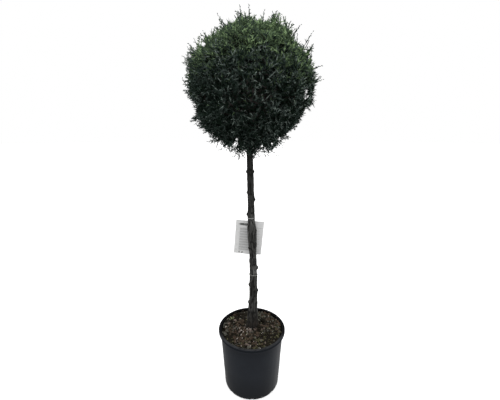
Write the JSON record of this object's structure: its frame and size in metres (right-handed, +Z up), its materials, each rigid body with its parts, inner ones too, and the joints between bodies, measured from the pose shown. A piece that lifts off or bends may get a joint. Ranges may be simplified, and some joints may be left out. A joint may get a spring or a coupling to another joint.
{
  "type": "potted cypress tree",
  "caption": "Cypress trained as a ball-headed standard: bare knotty trunk, dense round crown of fine sprays, hang tag, in a dark round nursery pot filled with bark mulch.",
  "frame": {"origin": "centre of the pot's flat underside", "axes": "+Z up along the pot's axis and the trunk, -Y towards the front of the picture, +X to the right"},
  "size_m": [0.496, 0.4727, 1.4691],
  "materials": {
    "pot": "blue-black blow-moulded nursery plastic, satin",
    "soil": "damp bark mulch and potting mix",
    "bark": "rough grey-brown bark with pruned knots",
    "foliage": "dense fine scale-leaf sprays, dark blue-green",
    "tag": "pale plastic label, blank",
    "tie": "weathered soft tie"
  },
  "bodies": {
    "root": {"pot": "pot", "soil": "soil", "trunk": "bark", "tag": "tag", "tie": "tie", "bough_lower_1": "bark", "bough_lower_2": "bark", "bough_lower_3": "bark", "bough_lower_4": "bark", "bough_lower_5": "bark", "bough_upper_1": "bark", "bough_upper_2": "bark", "bough_upper_3": "bark", "bough_upper_4": "bark", "foliage_lower_1": "foliage", "foliage_lower_2": "foliage", "foliage_lower_3": "foliage", "foliage_lower_4": "foliage", "foliage_lower_5": "foliage", "foliage_upper_1": "foliage", "foliage_upper_2": "foliage", "foliage_upper_3": "foliage", "foliage_upper_4": "foliage", "foliage_top": "foliage"}
  },
  "joints": []
}
